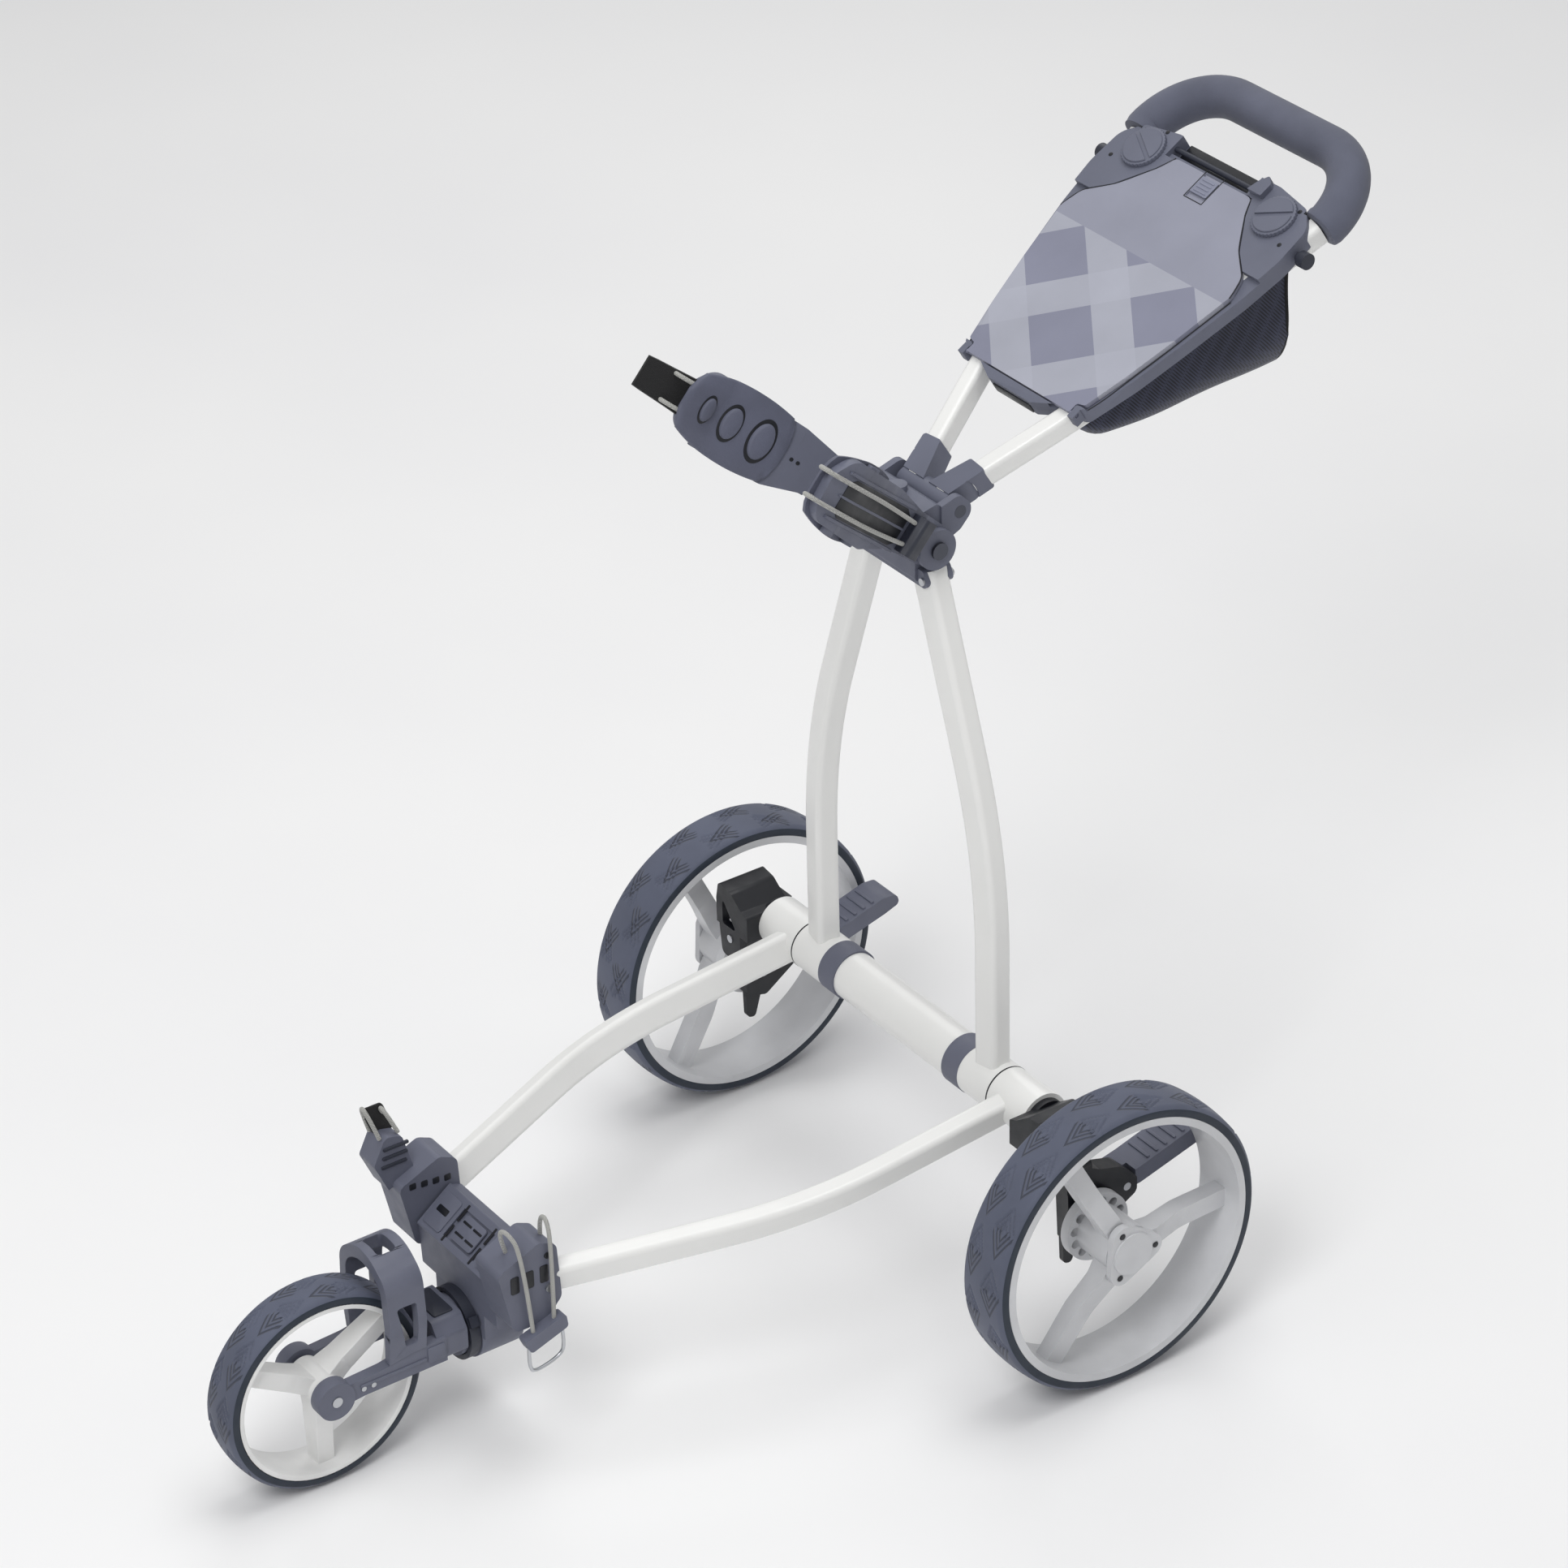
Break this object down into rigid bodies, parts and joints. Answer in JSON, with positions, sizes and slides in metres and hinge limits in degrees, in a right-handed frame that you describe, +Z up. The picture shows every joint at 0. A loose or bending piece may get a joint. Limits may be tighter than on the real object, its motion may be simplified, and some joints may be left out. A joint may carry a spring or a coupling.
{
  "type": "golf push trolley",
  "caption": "Three-wheeled folding golf push trolley with a curved tube frame, bag cradles, a console with net bag and a loop handle.",
  "frame": {"origin": "on the ground, under the middle of the unfolded trolley", "axes": "+Z up, the front wheel towards -Y, the handle towards +Y, +X is the trolley's own left"},
  "size_m": [0.658, 1.1846, 1.02],
  "materials": {
    "frame_paint": "satin white paint",
    "aluminium_tube": "plain",
    "moulded_grey": "fine matt texture",
    "moulded_black": "matt",
    "tyre_slate": "matt foam rubber",
    "rim_grey": "satin",
    "rim_white": "satin",
    "steel": "plain",
    "grip_foam": "fine closed-cell foam",
    "pad_rubber": "matt",
    "elastic_cord": "braided",
    "strap_web": "woven",
    "net": "open mesh"
  },
  "bodies": {
    "base": {"axle_tube": "aluminium_tube", "base_leg_left": "frame_paint", "base_leg_right": "frame_paint", "axle_bracket_left": "moulded_black", "axle_bracket_right": "moulded_black", "arm_hinge_pins": "steel", "lower_bracket": "moulded_grey", "lower_cover": "moulded_grey", "lower_buckles": "moulded_black", "lower_cords": "elastic_cord", "lower_screws": "steel", "swivel_collar": "moulded_grey"},
    "mast": {"centre_tube": "frame_paint", "spacer_rings": "moulded_grey", "mast_leg_left": "frame_paint", "mast_leg_right": "frame_paint", "mast_head": "moulded_grey", "handle_pin": "steel", "cradle_shaft": "steel", "mast_screws": "steel"},
    "fold_button": {"fold_button": "moulded_grey"},
    "cradle": {"cradle_arm_left": "moulded_grey", "cradle_arm_right": "moulded_grey", "cradle_pads": "pad_rubber", "cradle_cords": "elastic_cord", "cradle_strap": "strap_web", "cradle_clips": "moulded_grey"},
    "handle": {"handle_hinge": "moulded_grey", "handle_leg_left": "frame_paint", "handle_leg_right": "frame_paint", "handle_grip": "grip_foam", "console_base": "moulded_grey", "card_rod": "moulded_black", "accessory_studs": "moulded_black", "net_bag": "net"},
    "console_lid": {"console_lid": "moulded_grey"},
    "lid_latch": {"lid_latch": "moulded_grey"},
    "console_knob_left": {"console_knob_left": "moulded_grey"},
    "console_knob_right": {"console_knob_right": "moulded_grey"},
    "fork": {"fork": "moulded_grey", "mudguard": "moulded_grey", "front_axle": "steel"},
    "front_wheel": {"front_tyre": "tyre_slate", "front_rim": "rim_white"},
    "wheel_arm_left": {"wheel_arm_left": "moulded_black", "stub_axle_left": "steel"},
    "brake_pin_left": {"brake_pin_left": "steel"},
    "brake_pedal_left": {"brake_pedal_left": "moulded_grey"},
    "rear_wheel_left": {"rear_tyre_left": "tyre_slate", "rear_rim_left": "rim_grey", "hub_cap_left": "rim_grey", "wheel_bearings_left": "steel"},
    "wheel_arm_right": {"wheel_arm_right": "moulded_black", "stub_axle_right": "steel"},
    "brake_pin_right": {"brake_pin_right": "steel"},
    "brake_pedal_right": {"brake_pedal_right": "moulded_grey"},
    "rear_wheel_right": {"rear_tyre_right": "tyre_slate", "rear_rim_right": "rim_grey", "hub_cap_right": "rim_grey", "wheel_bearings_right": "steel"}
  },
  "joints": [
    {"name": "mast_fold", "type": "hinge", "parent": "base", "child": "mast", "pos_m": [0, 0.1506, 0.2253], "axis": [1, 0, 0], "range_deg": [0, 86]},
    {"name": "handle_fold", "type": "hinge", "parent": "mast", "child": "handle", "pos_m": [0, 0.1806, 0.761], "axis": [-1, 0, 0], "range_deg": [0, 116]},
    {"name": "cradle_tilt", "type": "hinge", "parent": "mast", "child": "cradle", "pos_m": [0, 0.1446, 0.742], "axis": [1, 0, 0], "range_deg": [-56, 0]},
    {"name": "fold_button_press", "type": "slide", "parent": "mast", "child": "fold_button", "axis": [0, 0, -1], "range_m": [0, 0.004], "stiffness_N_per_m": 400, "springref_m": -0.004},
    {"name": "fork_swivel", "type": "hinge", "parent": "base", "child": "fork", "pos_m": [0, -0.3554, 0.1], "axis": [0, 1, 0], "range_deg": [0, 90]},
    {"name": "front_wheel_spin", "type": "hinge", "parent": "fork", "child": "front_wheel", "pos_m": [0, -0.4924, 0.1], "axis": [1, 0, 0], "continuous": true},
    {"name": "lid_open", "type": "hinge", "parent": "handle", "child": "console_lid", "pos_m": [0, 0.27915, 0.83756], "axis": [1, 0, 0], "range_deg": [0, 75]},
    {"name": "latch_slide", "type": "slide", "parent": "console_lid", "child": "lid_latch", "axis": [0, -0.8536, -0.521], "range_m": [0, 0.005], "stiffness_N_per_m": 200, "springref_m": -0.005},
    {"name": "wheel_fold_left", "type": "hinge", "parent": "base", "child": "wheel_arm_left", "pos_m": [0.234, 0.1566, 0.204], "axis": [0, 1, 0], "range_deg": [0, 90]},
    {"name": "rear_wheel_spin_left", "type": "hinge", "parent": "wheel_arm_left", "child": "rear_wheel_left", "pos_m": [0.294, 0.1566, 0.145], "axis": [1, 0, 0], "continuous": true},
    {"name": "brake_pedal_press_left", "type": "hinge", "parent": "wheel_arm_left", "child": "brake_pedal_left", "pos_m": [0.2325, 0.2016, 0.161], "axis": [-1, 0, 0], "range_deg": [0, 25], "stiffness_Nm_per_rad": 0.6, "springref_deg": -14.32},
    {"name": "brake_pin_slide_left", "type": "slide", "parent": "wheel_arm_left", "child": "brake_pin_left", "axis": [1, 0, 0], "range_m": [0, 0.006]},
    {"name": "knob_turn_left", "type": "hinge", "parent": "handle", "child": "console_knob_left", "pos_m": [0.091, 0.48756, 0.96828], "axis": [0, -0.521, 0.8536], "range_deg": [0, 90]},
    {"name": "wheel_fold_right", "type": "hinge", "parent": "base", "child": "wheel_arm_right", "pos_m": [-0.234, 0.1566, 0.204], "axis": [0, -1, 0], "range_deg": [0, 90]},
    {"name": "rear_wheel_spin_right", "type": "hinge", "parent": "wheel_arm_right", "child": "rear_wheel_right", "pos_m": [-0.294, 0.1566, 0.145], "axis": [1, 0, 0], "continuous": true},
    {"name": "brake_pedal_press_right", "type": "hinge", "parent": "wheel_arm_right", "child": "brake_pedal_right", "pos_m": [-0.2325, 0.2016, 0.161], "axis": [-1, 0, 0], "range_deg": [0, 25], "stiffness_Nm_per_rad": 0.6, "springref_deg": -14.32},
    {"name": "brake_pin_slide_right", "type": "slide", "parent": "wheel_arm_right", "child": "brake_pin_right", "axis": [-1, 0, 0], "range_m": [0, 0.006]},
    {"name": "knob_turn_right", "type": "hinge", "parent": "handle", "child": "console_knob_right", "pos_m": [-0.091, 0.48756, 0.96828], "axis": [0, -0.521, 0.8536], "range_deg": [0, 90]}
  ],
  "couplings": [
    {"joint": "cradle_tilt", "follows": "mast_fold", "ratio": -0.65},
    {"joint": "brake_pin_slide_left", "follows": "brake_pedal_press_left", "m_per_rad": 0.01375},
    {"joint": "brake_pin_slide_right", "follows": "brake_pedal_press_right", "m_per_rad": 0.01375}
  ]
}
